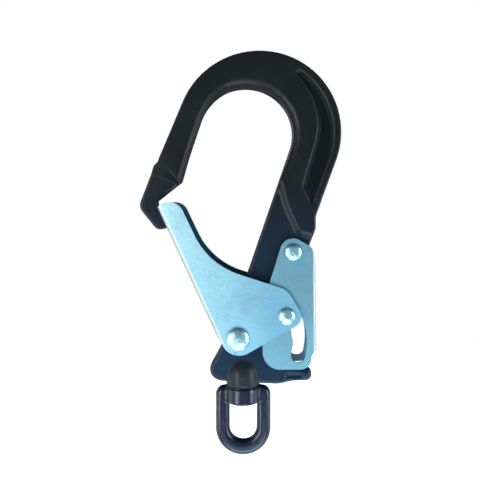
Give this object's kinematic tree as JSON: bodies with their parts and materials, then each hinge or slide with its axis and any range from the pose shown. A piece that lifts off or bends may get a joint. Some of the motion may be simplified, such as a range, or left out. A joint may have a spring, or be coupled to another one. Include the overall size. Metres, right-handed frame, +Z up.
{
  "type": "swivel hook",
  "caption": "Large-opening lifting hook with a self-closing folded gate, a lock lever on its back and a swivelling eye below it.",
  "frame": {"origin": "the top of the bowl's inner surface, mid-thickness, where the load bears, on the swivel's axis", "axes": "+Z up along the load line through the bowl and the eye, +X from the nose towards the back of the hook, +Y across its thickness, away from the viewer"},
  "size_m": [0.1292, 0.0303, 0.26],
  "materials": {
    "black_anodised": "satin black anodised forging",
    "black_steel": "satin black, blue sheen",
    "zinc_sheet": "pale blue zinc plated sheet",
    "rivet_steel": "bright, lightly hammered",
    "spring_steel": "drawn wire",
    "bearing_steel": "ground"
  },
  "bodies": {
    "hook": {"hook_body": "black_anodised", "gate_spring_front": "spring_steel", "gate_spring_back": "spring_steel", "lever_spring": "spring_steel", "lever_spacer_front": "bearing_steel", "lever_spacer_back": "bearing_steel", "swivel_thrust_washer": "black_steel", "swivel_ball_plug": "black_steel", "swivel_ball_01": "bearing_steel", "swivel_ball_02": "bearing_steel", "swivel_ball_03": "bearing_steel", "swivel_ball_04": "bearing_steel", "swivel_ball_05": "bearing_steel", "swivel_ball_06": "bearing_steel", "swivel_ball_07": "bearing_steel", "swivel_ball_08": "bearing_steel", "swivel_ball_09": "bearing_steel"},
    "gate": {"gate": "zinc_sheet", "gate_rivet": "rivet_steel", "gate_rivet_washer": "rivet_steel", "gate_bushing": "bearing_steel", "lock_pin_rivet": "rivet_steel", "lock_pin_washer": "rivet_steel", "lock_pin_sleeve": "bearing_steel"},
    "lever": {"lock_lever": "zinc_sheet", "lever_rivet": "rivet_steel", "lever_rivet_washer": "rivet_steel", "lever_bushing": "bearing_steel"},
    "eye": {"swivel_eye": "black_steel"}
  },
  "joints": [
    {"name": "gate_pivot", "type": "hinge", "parent": "hook", "child": "gate", "pos_m": [-0.003, 0, -0.1595], "axis": [0, 1, 0], "range_deg": [0, 38], "stiffness_Nm_per_rad": 0.12, "springref_deg": -34.38, "deforming": ["gate_spring_front", "gate_spring_back"]},
    {"name": "lever_pivot", "type": "hinge", "parent": "hook", "child": "lever", "pos_m": [0.032, 0, -0.105], "axis": [0, 1, 0], "range_deg": [0, 6.5], "stiffness_Nm_per_rad": 0.4, "springref_deg": -17.19, "deforming": ["lever_spring"]},
    {"name": "eye_swivel", "type": "hinge", "parent": "hook", "child": "eye", "pos_m": [0, 0, -0.19], "axis": [0, 0, 1], "continuous": true}
  ],
  "couplings": [
    {"joint": "lever_pivot", "follows": "gate_pivot", "ratio": 0.171}
  ]
}
